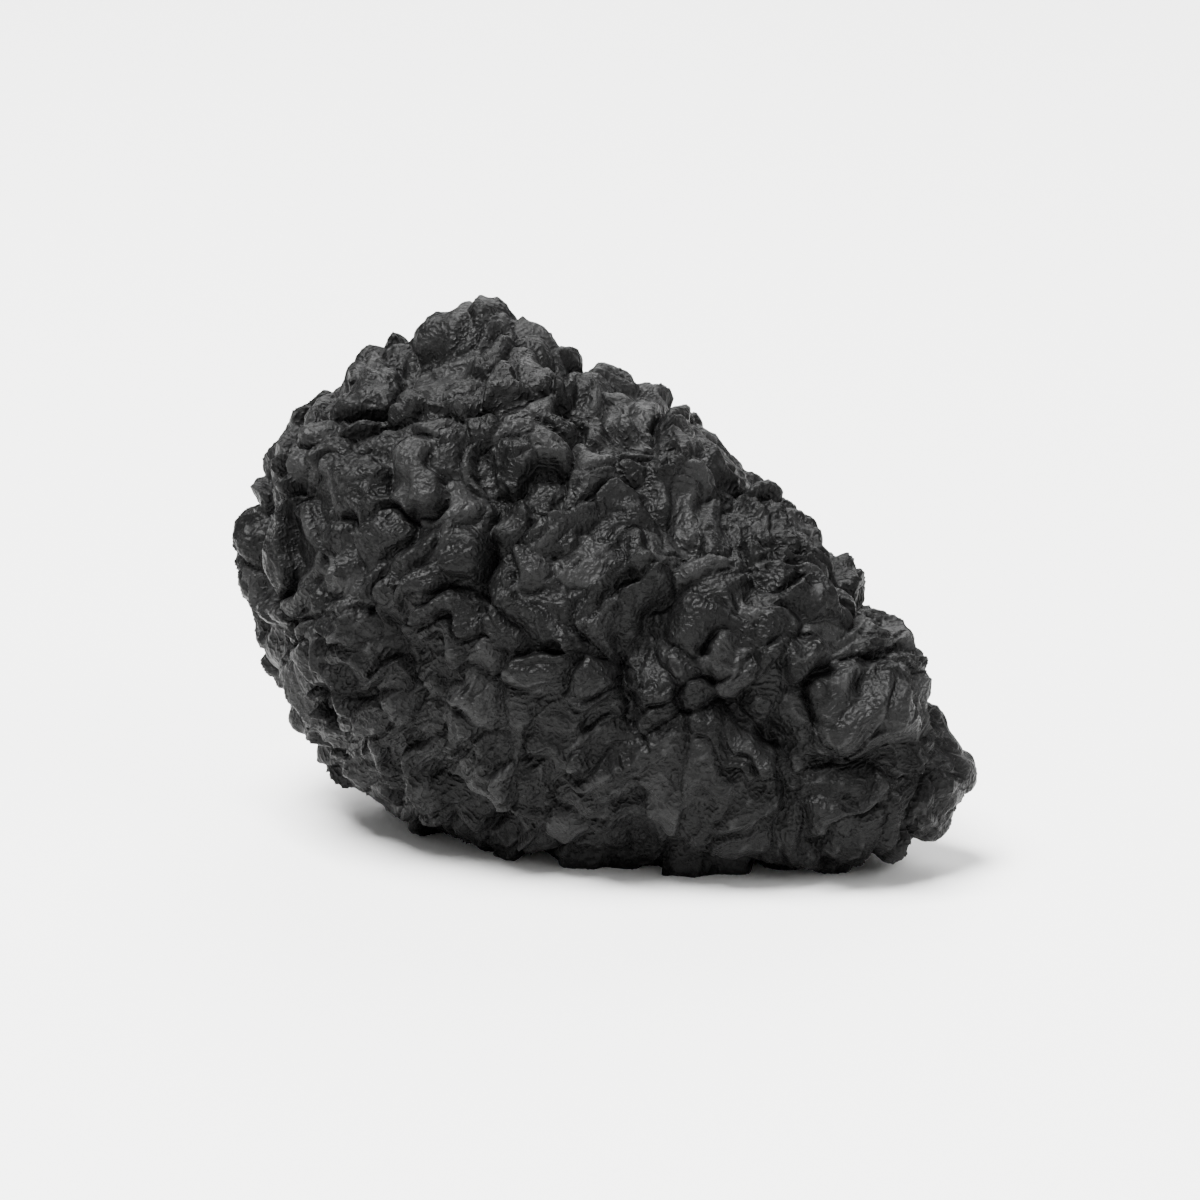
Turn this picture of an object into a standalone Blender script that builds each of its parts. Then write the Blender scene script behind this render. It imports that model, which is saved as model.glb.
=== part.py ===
"""A dried black mulberry, lying on its flattened belly.

A mulberry is a head of small drupelets that grew together round one axis. Each drupelet is wrapped in a few
fleshy lobes, and drying has shrunk it to a creased knob. The head is one solid: a smaller core, with every
drupelet sunk well into it. The dried stalk stands in a plain hole in the head's blunt end.

Metres, +Z up. The origin is the middle of the bounding box, at the surface that the fruit lies on. +X runs
along the fruit's length, towards its narrow end.
"""

import math

import bmesh
import bpy
import numpy as np
from mathutils import Vector

MM = 0.001

# The core, an egg with its blunt end at the stalk. Its axis dips and turns towards the narrow end.
CORE_CENTRE = Vector((0.0, -2.0, 5.15)) * MM
CORE_HALF_LENGTH = 8.0 * MM
CORE_HALF_WIDTH = 4.6 * MM
CORE_HALF_HEIGHT = 4.45 * MM
AXIS_TURN = math.radians(-28)
AXIS_DIP = math.radians(16)
TAPER = 0.34
CORE_SPOKES = 24
CORE_RINGS = 14

# Swellings and hollows of the core: the direction from its centre, the height, and how widely it spreads
SWELLINGS = {
    "back": ((-0.6, 0.2, 0.77), 0.5 * MM, 0.2),
    "crest": ((-0.25, 0.2, 0.94), 0.65 * MM, 0.025),
    "shoulder": ((-0.98, 0.1, 0.1), 0.15 * MM, 0.02),
    "nose": ((0.9, -0.1, -0.42), 1.0 * MM, 0.08),
    "point": ((0.93, -0.2, -0.26), 0.1 * MM, 0.01),
    "front_hollow": ((0.25, -0.95, -0.05), -0.5 * MM, 0.05),
    "far_hollow": ((0.1, 0.97, 0.2), -0.6 * MM, 0.07),
}

# The drupelets, set in a spiral by the golden angle, clear of the stalk
DRUPELET_COUNT = 106
GOLDEN_ANGLE = math.radians(137.508)
DRUPELET_HALF_WIDTH = 1.35 * MM
DRUPELET_HALF_HEIGHT = 1.2 * MM
DRUPELET_RISE = 0.05 * MM
WIDTH_SPREAD = 0.16
HEIGHT_SPREAD = 0.22
PLACE_SPREAD = 0.35 * MM
LEAN = 0.3
LOBE_COUNTS = (3, 4)
LOBE_DEPTH = 0.4
TIP_PIT = 0.2
TIP_PIT_WIDTH = 0.45
SHARP_ANGLE = math.radians(50)
SEED = 11

# The stalk stands in a plain hole on the blunt end's far side, with no drupelet in the ring round it. It is
# straight past the drupelets and then bends. Its radius is a share of STALK_RADIUS at each of its points.
STALK_DIRECTION = (-0.62, 0.76, 0.2)
BARE_RADIUS = 1.5 * MM
STALK_RADIUS = 0.4 * MM
STALK_RADII = (1.1, 1.1, 1.0, 0.9, 0.88, 0.9, 1.25)
STALK_DEPTH = 1.3 * MM
STALK_STRAIGHT = 1.7 * MM
STALK_BENT = 2.9 * MM
STALK_BEND = math.radians(40)
STALK_BEND_TOWARDS = Vector((0.0, 1.0, -0.2))
SOCKET_GAP = 0.1 * MM
SOCKET_SIDES = 16

# The surface that the fruit lies on is z = 0
FLOOR_CUTTER_SIDE = 40 * MM

# Base colour and roughness
MATERIALS = {
    "dried_skin": ((0.012, 0.0115, 0.0115, 1.0), 0.55),
    "dried_stalk": ((0.16, 0.078, 0.034, 1.0), 0.8),
}


def clear_scene():
    for obj in list(bpy.data.objects):
        bpy.data.objects.remove(obj)


def new_collection(name):
    made = bpy.data.collections.new(name)
    bpy.context.scene.collection.children.link(made)
    return made


def material(name):
    colour, roughness = MATERIALS[name]
    made = bpy.data.materials.new(name)
    made.use_nodes = True
    shader = made.node_tree.nodes["Principled BSDF"]
    shader.inputs["Base Color"].default_value = colour
    shader.inputs["Roughness"].default_value = roughness
    return made


def unit_rows(vectors):
    return vectors / np.linalg.norm(vectors, axis=-1, keepdims=True)


def axis_frame():
    """The fruit's own axes as columns: along it to the narrow end, sideways, and towards its back."""
    along = np.array([
        math.cos(AXIS_DIP) * math.cos(AXIS_TURN),
        math.cos(AXIS_DIP) * math.sin(AXIS_TURN),
        -math.sin(AXIS_DIP),
    ])
    side = unit_rows(np.cross([0.0, 0.0, 1.0], along))
    return np.stack([along, side, np.cross(along, side)], axis=1)


def core_direction(world):
    """A world direction as a unit vector in the core's axes."""
    return unit_rows(np.array(world)) @ axis_frame()


def core_points(units):
    """Points of the core for unit vectors in its own axes: an egg, with its swellings."""
    girth = 1 - TAPER * units[:, :1]
    local = np.hstack([units[:, :1], girth * units[:, 1:]])
    local *= [CORE_HALF_LENGTH, CORE_HALF_WIDTH, CORE_HALF_HEIGHT]
    for direction, height, spread in SWELLINGS.values():
        nearness = units @ core_direction(direction)
        local += height * np.exp((nearness - 1) / spread)[:, None] * units
    return local @ axis_frame().T + np.array(CORE_CENTRE)


def core_normals(units):
    """Outward directions of the core, taken from the plain ellipsoid of its size."""
    local = units / np.array([CORE_HALF_LENGTH, CORE_HALF_WIDTH, CORE_HALF_HEIGHT])
    return unit_rows(local) @ axis_frame().T


def stalk_root():
    """Where the stalk leaves the core, and its direction there."""
    unit = core_direction(STALK_DIRECTION)[None]
    return Vector(core_points(unit)[0]), Vector(core_normals(unit)[0])


def spiral_units():
    """Unit vectors of the drupelets: even in area along the axis, a golden angle apart round it."""
    reach = np.linspace(-1, 1, 400)
    strip = np.hypot(CORE_HALF_LENGTH * np.sqrt(1 - reach**2), CORE_HALF_WIDTH * reach)
    area = np.cumsum(strip * (1 - TAPER * reach))
    shares = (np.arange(DRUPELET_COUNT) + 0.5) / DRUPELET_COUNT
    along = np.interp(shares * area[-1], area, reach)
    azimuth = GOLDEN_ANGLE * np.arange(DRUPELET_COUNT)
    across = np.sqrt(1 - along**2)
    return np.stack([along, across * np.cos(azimuth), across * np.sin(azimuth)], axis=1)


def drupelet_layout():
    """Place, frame, half sizes, lobes and turn of each drupelet.

    A frame's columns run towards the narrow end, across and outwards. The swellings carry a drupelet each on
    their tops, and the drupelets round the stalk are left out.
    """
    rng = np.random.default_rng(SEED)
    units = spiral_units()
    shift = rng.normal(0, PLACE_SPREAD, (DRUPELET_COUNT, 2))
    for direction, height, _ in SWELLINGS.values():
        if height > 0:
            top = core_direction(direction)
            nearest = np.argmax(units @ top)
            units[nearest] = top
            shift[nearest] = 0
    normals = core_normals(units)
    along = axis_frame()[:, 0] - normals * (normals @ axis_frame()[:, :1])
    along = unit_rows(along)
    across = np.cross(normals, along)
    places = core_points(units) + shift[:, :1] * along + shift[:, 1:] * across + DRUPELET_RISE * normals
    sizes = np.array([DRUPELET_HALF_WIDTH, DRUPELET_HALF_WIDTH, DRUPELET_HALF_HEIGHT])
    spreads = np.array([WIDTH_SPREAD, WIDTH_SPREAD, HEIGHT_SPREAD])
    sizes = sizes * (1 + spreads * rng.uniform(-1, 1, (DRUPELET_COUNT, 3)))
    lobes = rng.choice(LOBE_COUNTS, DRUPELET_COUNT)
    turns = rng.uniform(0, 2 * math.pi, DRUPELET_COUNT)
    frames = np.stack([along, across, normals], axis=2)
    root, _ = stalk_root()
    kept = np.linalg.norm(places - np.array(root), axis=1) > BARE_RADIUS
    return zip(places[kept], frames[kept], sizes[kept], lobes[kept], turns[kept])


def lobed_points(units, lobes):
    """A drupelet of unit size, tip at +Z, for unit vectors: lobes, creases between them, and a pit at the tip."""
    azimuth = np.arctan2(units[:, 1], units[:, 0])
    away = np.arccos(np.clip(units[:, 2], -1, 1))
    swell = np.sqrt(np.abs(np.sin(0.5 * lobes * azimuth))) - 0.75
    pit = TIP_PIT * np.exp(-((away / TIP_PIT_WIDTH) ** 2))
    return units * (1 + LOBE_DEPTH * swell * np.sqrt(np.sin(away)) - pit)[:, None]


def turned(points, angle):
    """The points, turned about +Z."""
    cosine, sine = math.cos(angle), math.sin(angle)
    return points @ np.array([[cosine, sine, 0.0], [-sine, cosine, 0.0], [0.0, 0.0, 1.0]])


def mesh_object(name, collection, build):
    """A mesh object from what build makes in a bmesh."""
    bm = bmesh.new()
    build(bm)
    mesh = bpy.data.meshes.new(name)
    bm.to_mesh(mesh)
    bm.free()
    obj = bpy.data.objects.new(name, mesh)
    collection.objects.link(obj)
    return obj


def ball(bm):
    bmesh.ops.create_uvsphere(bm, u_segments=CORE_SPOKES, v_segments=CORE_RINGS, radius=1.0)


def small_ball(bm):
    bmesh.ops.create_icosphere(bm, subdivisions=2, radius=1.0)


def read_points(mesh):
    points = np.empty(len(mesh.vertices) * 3, np.float32)
    mesh.vertices.foreach_get("co", points)
    return points.reshape(-1, 3).astype(float)


def write_points(mesh, points):
    mesh.vertices.foreach_set("co", points.astype(np.float32).ravel())
    mesh.update()


def make_core(collection):
    core = mesh_object("fruit_head", collection, ball)
    # The primitive's poles lie on Z, and the egg's on its first axis.
    write_points(core.data, core_points(read_points(core.data)[:, [2, 0, 1]]))
    return core


def make_drupelets(collection):
    for place, frame, size, lobes, turn in drupelet_layout():
        drupelet = mesh_object("drupelet", collection, small_ball)
        local = turned(lobed_points(read_points(drupelet.data), lobes), turn)
        local[:, 0] += LEAN * np.clip(local[:, 2], 0, None)
        write_points(drupelet.data, place + (local * size) @ frame.T)


def join_collection(obj, collection):
    """Joins a collection's closed meshes to the object, and removes them."""
    union = obj.modifiers.new("union", "BOOLEAN")
    union.operation = "UNION"
    union.operand_type = "COLLECTION"
    union.collection = collection
    union.solver = "MANIFOLD"
    graph = bpy.context.evaluated_depsgraph_get()
    joined = bpy.data.meshes.new_from_object(obj.evaluated_get(graph))
    obj.modifiers.clear()
    obj.data = joined
    for part in list(collection.objects):
        bpy.data.objects.remove(part)
    bpy.data.collections.remove(collection)


def keep_outer_skin(mesh):
    """Drops each shell but the largest, which fills the hollows that the joining closed off."""
    bm = bmesh.new()
    bm.from_mesh(mesh)
    waiting = set(bm.verts)
    shells = []
    while waiting:
        shell = {waiting.pop()}
        edge = list(shell)
        while edge:
            vert = edge.pop()
            joined = {link.other_vert(vert) for link in vert.link_edges} - shell
            shell |= joined
            edge += joined
        waiting -= shell
        shells.append(shell)
    outer = max(shells, key=len)
    bmesh.ops.delete(bm, geom=[vert for vert in bm.verts if vert not in outer], context="VERTS")
    bm.to_mesh(mesh)
    bm.free()


def cut(obj, cutter):
    difference = obj.modifiers.new("cut_" + cutter.name, "BOOLEAN")
    difference.operation = "DIFFERENCE"
    difference.object = cutter
    cutter.hide_render = True
    cutter.display_type = "WIRE"


def floor_cutter(collection):
    """The block under z = 0, which leaves the flat spot that the fruit rests on."""

    def cube(bm):
        bmesh.ops.create_cube(bm, size=FLOOR_CUTTER_SIDE)

    cutter = mesh_object("floor_cutter", collection, cube)
    cutter.location.z = -FLOOR_CUTTER_SIDE / 2
    return cutter


def socket_cutter(collection):
    """The stalk's hole: round, from below its foot to beyond the drupelets."""
    root, direction = stalk_root()
    depth = STALK_DEPTH + STALK_STRAIGHT + 2 * SOCKET_GAP
    radius = STALK_RADII[0] * STALK_RADIUS + SOCKET_GAP

    def cylinder(bm):
        sizes = {"radius1": radius, "radius2": radius, "depth": depth}
        bmesh.ops.create_cone(bm, cap_ends=True, segments=SOCKET_SIDES, **sizes)

    cutter = mesh_object("socket_cutter", collection, cylinder)
    cutter.rotation_mode = "QUATERNION"
    cutter.rotation_quaternion = Vector((0.0, 0.0, 1.0)).rotation_difference(direction)
    cutter.location = root + direction * (depth / 2 - STALK_DEPTH - SOCKET_GAP)
    return cutter


def stalk_points():
    """Points along the stalk's middle: its foot in the hole, then the bend from its start to the free end."""
    root, direction = stalk_root()
    aside = STALK_BEND_TOWARDS - direction * STALK_BEND_TOWARDS.dot(direction)
    aside.normalize()
    bend_start = root + direction * STALK_STRAIGHT
    bend_radius = STALK_BENT / STALK_BEND
    points = [root - direction * STALK_DEPTH]
    for turn in np.linspace(0, STALK_BEND, len(STALK_RADII) - 1):
        bow = direction * math.sin(turn) + aside * (1 - math.cos(turn))
        points.append(bend_start + bend_radius * bow)
    return points


def make_stalk(collection):
    data = bpy.data.curves.new("stalk", "CURVE")
    data.dimensions = "3D"
    data.bevel_depth = STALK_RADIUS
    data.bevel_resolution = 2
    data.use_fill_caps = True
    spline = data.splines.new("POLY")
    spline.points.add(len(STALK_RADII) - 1)
    for point, place, radius in zip(spline.points, stalk_points(), STALK_RADII):
        point.co = (*place, 1.0)
        point.radius = radius
    data.materials.append(material("dried_stalk"))
    collection.objects.link(bpy.data.objects.new("stalk", data))


def make_head(collection, cutters):
    head = make_core(collection)
    drupelets = new_collection("drupelets")
    make_drupelets(drupelets)
    join_collection(head, drupelets)
    keep_outer_skin(head.data)
    head.data.materials.clear()
    head.data.materials.append(material("dried_skin"))
    head.data.shade_smooth()
    head.data.set_sharp_from_angle(angle=SHARP_ANGLE)
    cut(head, floor_cutter(cutters))
    cut(head, socket_cutter(cutters))


def main():
    clear_scene()
    fruit = new_collection("dried_mulberry")
    cutters = new_collection("cutters")
    make_head(fruit, cutters)
    make_stalk(fruit)


main()
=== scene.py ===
"""A dried black mulberry, lying on its flattened belly on a pale table.

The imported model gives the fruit's place and size. This script puts finer surfaces over it: the same core
and drupelets, and on them the folds, creases and colours of a skin that dried on the fruit. Each surface
is a function of two parameters on a grid, worked out as whole arrays.

Lengths are in metres and directions in the part's frame: +X to the narrow end, -Y to the viewer, +Z up.
"""

from __future__ import annotations

import logging
import math
from dataclasses import dataclass, replace
from enum import Enum

import bpy
import numpy as np
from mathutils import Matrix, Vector

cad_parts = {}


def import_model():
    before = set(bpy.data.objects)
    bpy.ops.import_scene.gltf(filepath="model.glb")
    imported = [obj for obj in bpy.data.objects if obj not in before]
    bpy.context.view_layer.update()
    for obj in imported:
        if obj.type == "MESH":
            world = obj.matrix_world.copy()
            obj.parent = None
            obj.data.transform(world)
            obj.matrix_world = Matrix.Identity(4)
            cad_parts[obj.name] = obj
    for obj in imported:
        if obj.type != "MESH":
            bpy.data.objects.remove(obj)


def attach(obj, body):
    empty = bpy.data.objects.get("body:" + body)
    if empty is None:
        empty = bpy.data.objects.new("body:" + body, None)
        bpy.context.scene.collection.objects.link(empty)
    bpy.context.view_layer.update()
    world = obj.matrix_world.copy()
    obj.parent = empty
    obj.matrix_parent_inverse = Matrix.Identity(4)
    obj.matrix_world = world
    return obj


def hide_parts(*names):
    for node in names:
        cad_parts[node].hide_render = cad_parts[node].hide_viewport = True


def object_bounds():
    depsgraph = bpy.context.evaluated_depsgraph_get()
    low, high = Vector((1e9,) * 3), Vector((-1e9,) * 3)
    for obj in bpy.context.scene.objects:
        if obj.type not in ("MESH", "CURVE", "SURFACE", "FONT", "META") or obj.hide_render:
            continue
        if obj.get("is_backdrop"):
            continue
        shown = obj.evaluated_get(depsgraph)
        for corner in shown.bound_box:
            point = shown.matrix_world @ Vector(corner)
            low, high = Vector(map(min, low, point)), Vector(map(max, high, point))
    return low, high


LOG = logging.getLogger("dried_mulberry")

MM = 0.001
TINY = 1e-12
GOLDEN_ANGLE = math.radians(137.508)
# Steps between the seeds of the parts of a vector field, and of the ways that folds run
VECTOR_SEED_STEP = 101
WAY_SEED_STEP = 10
HEAD_NODE, STALK_NODE = "fruit_head", "stalk"

Array = np.ndarray
Pair = tuple[float, float]
Triple = tuple[float, float, float]


# Small helpers


def unit_rows(vectors: Array) -> Array:
    """The vectors, each divided by its length."""
    return vectors / np.linalg.norm(vectors, axis=-1, keepdims=True)


def linear_rgb(code: str) -> tuple[float, float, float, float]:
    """Turns an sRGB hex colour to linear light: c / 12.92 up to 0.04045, then ((c + 0.055) / 1.055)^2.4.

    Args:
        code: Six hex digits after a #.

    Returns:
        Red, green, blue and an alpha of 1.
    """
    parts = [int(code[i : i + 2], 16) / 255 for i in (1, 3, 5)]
    red, green, blue = (c / 12.92 if c <= 0.04045 else ((c + 0.055) / 1.055) ** 2.4 for c in parts)
    return red, green, blue, 1.0


def smooth_step(low: float, high: float, values: Array) -> Array:
    """3t^2 - 2t^3, where t runs from 0 at low to 1 at high, whichever of the two is the larger."""
    share = np.clip((values - low) / (high - low), 0.0, 1.0)
    return share * share * (3 - 2 * share)


@dataclass(frozen=True)
class WaveField:
    """A smooth random field in space: a sum of plane waves of about one length in random directions.

    Attributes:
        wavelength: Typical length of a wave.
        seed: Seed of the directions, lengths and phases.
        waves: How many waves are summed.
        length_range: Least and greatest length of a wave, as shares of the typical one.
    """

    wavelength: float
    seed: int
    waves: int = 28
    length_range: Pair = (0.75, 1.35)

    def at(self, points: Array) -> Array:
        """Value of the field: the sum of the waves' cosines x sqrt(2 / waves), a spread of about 1.

        Args:
            points: Points, as an array of any shape ending in 3.

        Returns:
            One value for each point.
        """
        rng = np.random.default_rng(self.seed)
        directions = unit_rows(rng.normal(size=(self.waves, 3)))
        lengths = self.wavelength * rng.uniform(*self.length_range, self.waves)
        phases = rng.uniform(0, 2 * math.pi, self.waves)
        turns = points @ (directions * (2 * math.pi / lengths)[:, None]).T + phases
        return np.cos(turns).sum(axis=-1) * math.sqrt(2 / self.waves)

    def vectors_at(self, points: Array) -> Array:
        """Three such fields as one vector field, for bending the space that another field is read in."""
        seeds = (self.seed + VECTOR_SEED_STEP * number for number in (1, 2, 3))
        return np.stack([replace(self, seed=seed).at(points) for seed in seeds], axis=-1)


def sphere_grid(away: Array, spokes: int) -> Array:
    """Unit vectors of a polar grid round +Z: sine of away x cosine and sine of azimuth, cosine of away.

    Args:
        away: Angle from +Z of each ring.
        spokes: Points on each ring.

    Returns:
        Array of rings by spokes by 3.
    """
    azimuth = np.arange(spokes) * (2 * math.pi / spokes)
    across = np.sin(away)[:, None]
    upwards = np.broadcast_to(np.cos(away)[:, None], (len(away), spokes))
    return np.stack([across * np.cos(azimuth), across * np.sin(azimuth), upwards], axis=-1)


def grid_normals(grid: Array) -> Array:
    """Outward normals: the cross product of the step to the next ring and the step to the next spoke.

    At a pole every spoke is one point, so it takes the mean of the ring beside it.

    Args:
        grid: A closed polar grid, as rings by spokes by 3.

    Returns:
        Unit vectors in the same shape.
    """
    down = np.gradient(grid, axis=0)
    round_it = np.roll(grid, -1, axis=1) - np.roll(grid, 1, axis=1)
    normals = np.cross(down, round_it)
    normals /= np.maximum(np.linalg.norm(normals, axis=-1, keepdims=True), TINY)
    for pole, beside in ((0, 1), (-1, -2)):
        normals[pole] = unit_rows(normals[beside].mean(axis=0))
    return normals


def polar_faces(rings: int, spokes: int) -> tuple[Array, Array]:
    """Faces of a closed polar grid whose first and last rings are single points.

    Args:
        rings: Rings of the grid, the two poles included.
        spokes: Points on each ring.

    Returns:
        Quads, and the triangles at the poles, as indices into pole, inner rings, pole.
    """
    spoke = np.arange(spokes)
    following = (spoke + 1) % spokes
    row = 1 + spokes * np.arange(rings - 3)[:, None]
    below = row + spokes
    quads = np.stack([row + spoke, below + spoke, below + following, row + following], axis=-1)
    lowest = 1 + spokes * (rings - 3)
    last = lowest + spokes
    top = np.stack([np.zeros_like(spoke), 1 + spoke, 1 + following], axis=-1)
    bottom = np.stack([np.full_like(spoke, last), lowest + following, lowest + spoke], axis=-1)
    return quads.reshape(-1, 4), np.concatenate([top, bottom])


def polar_points(grid: Array) -> Array:
    """Points of a closed polar grid, one a row: pole, inner rings, pole."""
    return np.concatenate([grid[:1, 0], grid[1:-1].reshape(-1, grid.shape[-1]), grid[-1:, 0]])


def new_object(name: str, data: bpy.types.ID) -> bpy.types.Object:
    """Puts data into the scene.

    Args:
        name: Name of the object.
        data: Mesh, light or camera.

    Returns:
        The object that shows it.
    """
    made = bpy.data.objects.new(name, data)
    bpy.context.scene.collection.objects.link(made)
    return made


def mesh_piece(
    name: str, grid: Array, attributes: dict[str, Array], normals: Array | None = None
) -> bpy.types.Object:
    """Makes an object from a closed polar grid.

    Args:
        name: Name of the object.
        grid: Rings by spokes by 3, with its first and last ring one point each.
        attributes: Values for each grid point, as rings by spokes, by attribute name.
        normals: Shading normals of the grid points, or nothing for the mesh's own.

    Returns:
        The object, smooth shaded, with its place in its mesh.
    """
    points = polar_points(grid)
    quads, triangles = polar_faces(*grid.shape[:2])
    corners = np.concatenate([quads.ravel(), triangles.ravel()])
    starts = np.concatenate([4 * np.arange(len(quads)), quads.size + 3 * np.arange(len(triangles))])
    mesh = bpy.data.meshes.new(name)
    mesh.vertices.add(len(points))
    mesh.vertices.foreach_set("co", points.astype(np.float32).ravel())
    mesh.loops.add(len(corners))
    mesh.loops.foreach_set("vertex_index", corners.astype(np.int32))
    mesh.polygons.add(len(starts))
    mesh.polygons.foreach_set("loop_start", starts.astype(np.int32))
    mesh.update(calc_edges=True)
    mesh.validate()
    for key, values in attributes.items():
        layer = mesh.attributes.new(key, "FLOAT", "POINT")
        layer.data.foreach_set("value", polar_points(values[..., None]).astype(np.float32).ravel())
    mesh.shade_smooth()
    if normals is not None:
        mesh.normals_split_custom_set_from_vertices(polar_points(normals).tolist())
    return new_object(name, mesh)


# Finishes


# Settings of nodes: a smooth rise from 0 to 1, and a mix of colours
SMOOTH = {"interpolation_type": "SMOOTHSTEP"}
COLOUR = {"data_type": "RGBA"}


def add_node(
    tree: bpy.types.NodeTree, kind: str, settings: dict[str, object] | None = None, **inputs: object
) -> bpy.types.Node:
    """Adds a node with its settings, values and links.

    Args:
        tree: Node tree that it goes into.
        kind: Blender's name of the node type, without ShaderNode.
        settings: Properties of the node, by name.
        **inputs: Values or sockets to link, by the input's name in lower case with _ for a space, or by
            input_ and its number.

    Returns:
        The node.
    """
    node = tree.nodes.new("ShaderNode" + kind)
    for key, value in (settings or {}).items():
        setattr(node, key, value)
    names = {socket.name.lower().replace(" ", "_"): socket for socket in reversed(node.inputs)}
    for key, value in inputs.items():
        number = key.removeprefix("input_")
        socket = node.inputs[int(number)] if number != key else names[key]
        if isinstance(value, bpy.types.NodeSocket):
            tree.links.new(value, socket)
        else:
            socket.default_value = value
    return node


@dataclass(frozen=True)
class Grain:
    """A noise pattern of a finish.

    Attributes:
        length: Size of its largest features.
        detail: How many times it is laid over itself at half the size.
        depth: Depth of the marks that it leaves, or 0 for a pattern of colour alone.
        offset: Height at which sharp ridges fold over, or 0 for a pattern without them.
    """

    length: float
    detail: float
    depth: float = 0.0
    offset: float = 0.0


@dataclass(frozen=True)
class DriedSkin:
    """Dried mulberry skin: a leathery film, black with pigment and finely wrinkled all over.

    It gives the eye a black without any hue, dull, with a soft shine on the backs of the folds. What
    stands out is painted a paler grey, partly a thin powdery film and partly a painted highlight, and
    some lobes dried greyer than the rest.

    Attributes:
        name: Name of the material.
        base: Colour of most of the skin.
        thin: Colour of the patches where the skin is thin.
        pale: Colour of the lobes that dried grey.
        painted_shade: Painted shade: a darker colour laid in the creases and along lobe borders, where shade
            falls.
        bloom_and_highlight: Paler grey on the crests, partly a thin powdery film and partly a painted
            highlight.
        thin_range, pale_range: Values of the patches and of a lobe's tone between which each sets in.
        painted_shade_range, bloom_and_highlight_range: Heights of a ridge between which the painted shade
        and the paler grey on the crests set in.
        dust_range: Values of the mottling between which the powdery film on the crests, and its painted
            highlight, sets in.
        roughness, roughness_spread: Its mean, and how far it goes up and down with the mottling.
        ior: Index of refraction of the dried film.
        shine: Level of the mirror light.
        patches, mottle, wrinkles, pores: Its patterns, the widest first.
    """

    name: str = "dried_black_skin"
    base: str = "#080808"
    thin: str = "#0e0e0e"
    pale: str = "#1c1c1c"
    # Painted shade in the creases and along lobe borders
    painted_shade: str = "#050505"
    # Partly a powdery film, partly a painted highlight on the crests
    bloom_and_highlight: str = "#222222"
    thin_range: Pair = (0.5, 0.7)
    pale_range: Pair = (0.6, 1.0)
    painted_shade_range: Pair = (0.4, 0.12)
    bloom_and_highlight_range: Pair = (0.5, 0.95)
    dust_range: Pair = (0.4, 0.7)
    roughness: float = 0.48
    roughness_spread: float = 0.18
    ior: float = 1.45
    shine: float = 0.11
    patches: Grain = Grain(2.2 * MM, 3.0)
    mottle: Grain = Grain(0.4 * MM, 4.0)
    wrinkles: Grain = Grain(0.16 * MM, 2.0, 0.02 * MM, 1.0)
    pores: Grain = Grain(0.05 * MM, 2.0, 0.01 * MM)

    def material(self) -> bpy.types.Material:
        """The skin as a node material that reads Object coordinates and the piece's own attributes.

        Each colour lies over those before it by a share, which rises smoothly from 0 to 1 as its pattern
        crosses its range. The darkest colour, in the creases, is painted shade. The paler grey on the crests
        is partly a powdery film and partly a painted highlight, its share from the ridge multiplied by the
        dust's.

        Returns:
            The material.
        """
        made = bpy.data.materials.new(self.name)
        made.use_nodes = True
        tree = made.node_tree
        tree.nodes.clear()
        place = add_node(tree, "TexCoord").outputs["Object"]
        ridge, tone = (
            add_node(tree, "Attribute", {"attribute_name": name}).outputs["Fac"]
            for name in ("ridge", "tone")
        )
        patches, mottle, wrinkles, pores = (
            add_node(
                tree,
                "TexNoise",
                {"noise_type": "RIDGED_MULTIFRACTAL" if grain.offset else "FBM"},
                vector=place,
                scale=1 / grain.length,
                detail=grain.detail,
                offset=grain.offset,
            ).outputs[0]
            for grain in (self.patches, self.mottle, self.wrinkles, self.pores)
        )
        *shares, crest_highlight, dusted = (
            add_node(tree, "MapRange", SMOOTH, value=pattern, from_min=low, from_max=high).outputs[0]
            for pattern, (low, high) in (
                (patches, self.thin_range),
                (tone, self.pale_range),
                (ridge, self.painted_shade_range),
                (ridge, self.bloom_and_highlight_range),
                (mottle, self.dust_range),
            )
        )
        # Paler grey on the crests: a painted highlight from the ridge, kept where the dust's mottling lets
        # the film stick
        both = add_node(tree, "Math", {"operation": "MULTIPLY"}, input_0=crest_highlight, input_1=dusted)
        skin = linear_rgb(self.base)
        colours = (self.thin, self.pale, self.painted_shade, self.bloom_and_highlight)
        for share, colour in zip((*shares, both.outputs[0]), colours):
            skin = add_node(
                tree, "Mix", COLOUR, input_0=share, input_6=skin, input_7=linear_rgb(colour)
            ).outputs[2]
        rough = add_node(
            tree,
            "MapRange",
            value=mottle,
            to_min=self.roughness - self.roughness_spread,
            to_max=self.roughness + self.roughness_spread,
        ).outputs["Result"]
        bump = add_node(tree, "Bump", distance=self.wrinkles.depth, height=wrinkles)
        bump = add_node(
            tree, "Bump", distance=self.pores.depth, height=pores, normal=bump.outputs["Normal"]
        )
        shader = add_node(
            tree,
            "BsdfPrincipled",
            base_color=skin,
            roughness=rough,
            ior=self.ior,
            specular_ior_level=self.shine,
            normal=bump.outputs["Normal"],
        )
        add_node(tree, "OutputMaterial", surface=shader.outputs["BSDF"])
        return made


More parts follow.
